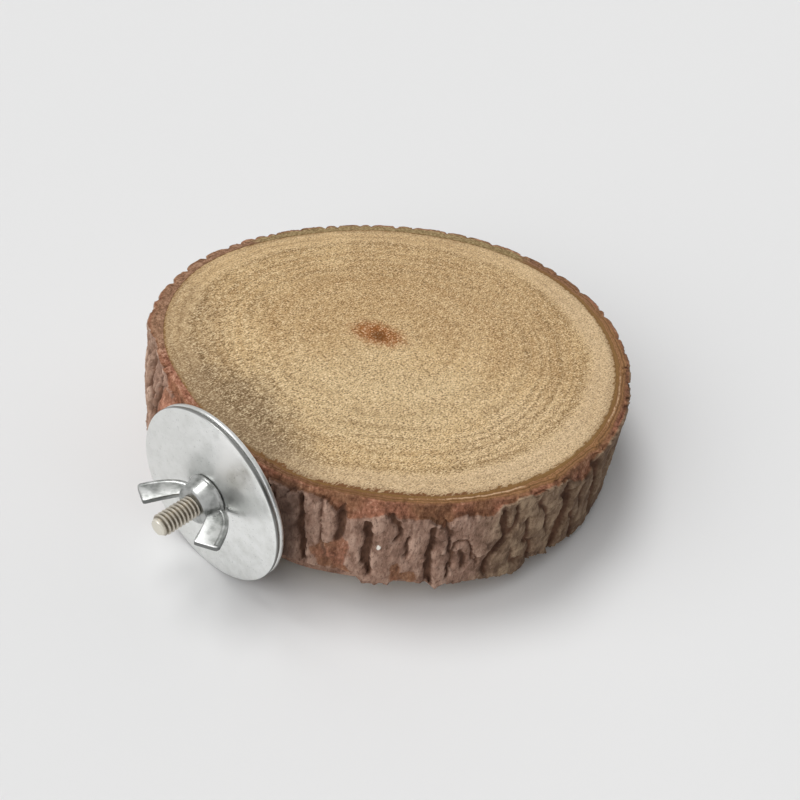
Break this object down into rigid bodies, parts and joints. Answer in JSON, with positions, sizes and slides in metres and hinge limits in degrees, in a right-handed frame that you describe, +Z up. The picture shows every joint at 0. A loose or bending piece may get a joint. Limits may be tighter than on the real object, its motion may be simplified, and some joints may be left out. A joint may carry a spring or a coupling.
{
  "type": "clamp-on wooden bird perch platform",
  "caption": "Round slice of branch with bark, held to cage wires by a hanger bolt, two wide washers and a wing nut.",
  "frame": {"origin": "middle of the wood slice's flat underside", "axes": "+Z up, square to the perch face; the bolt comes out of the bark towards -Y; +X is to the right, seen from the bolt's free end"},
  "size_m": [0.0796, 0.0933, 0.03],
  "materials": {
    "sawn_wood": "sawn across the grain, unfinished",
    "rough_bark": "natural furrowed bark",
    "thread_steel": "rolled thread, slightly tarnished",
    "zinc_plate": "matte bright zinc plate",
    "bright_zinc": "glossy bright zinc plate"
  },
  "bodies": {
    "perch": {"wood_slice": "sawn_wood", "bark": "rough_bark", "hanger_bolt": "thread_steel"},
    "inner_washer": {"inner_washer": "zinc_plate"},
    "outer_washer": {"outer_washer": "zinc_plate"},
    "wing_nut": {"wing_nut": "bright_zinc"}
  },
  "joints": [
    {"name": "inner_washer_spin", "type": "hinge", "parent": "perch", "child": "inner_washer", "pos_m": [0, -0.04075, 0.0104], "axis": [0, -1, 0], "continuous": true},
    {"name": "washer_slide", "type": "slide", "parent": "perch", "child": "outer_washer", "axis": [0, -1, 0], "range_m": [0, 0.0049]},
    {"name": "nut_turn", "type": "hinge", "parent": "outer_washer", "child": "wing_nut", "pos_m": [0, -0.04285, 0.0104], "axis": [0, -1, 0], "range_deg": [0, 2520]}
  ],
  "couplings": [
    {"joint": "nut_turn", "follows": "washer_slide", "rad_per_m": 8976}
  ]
}
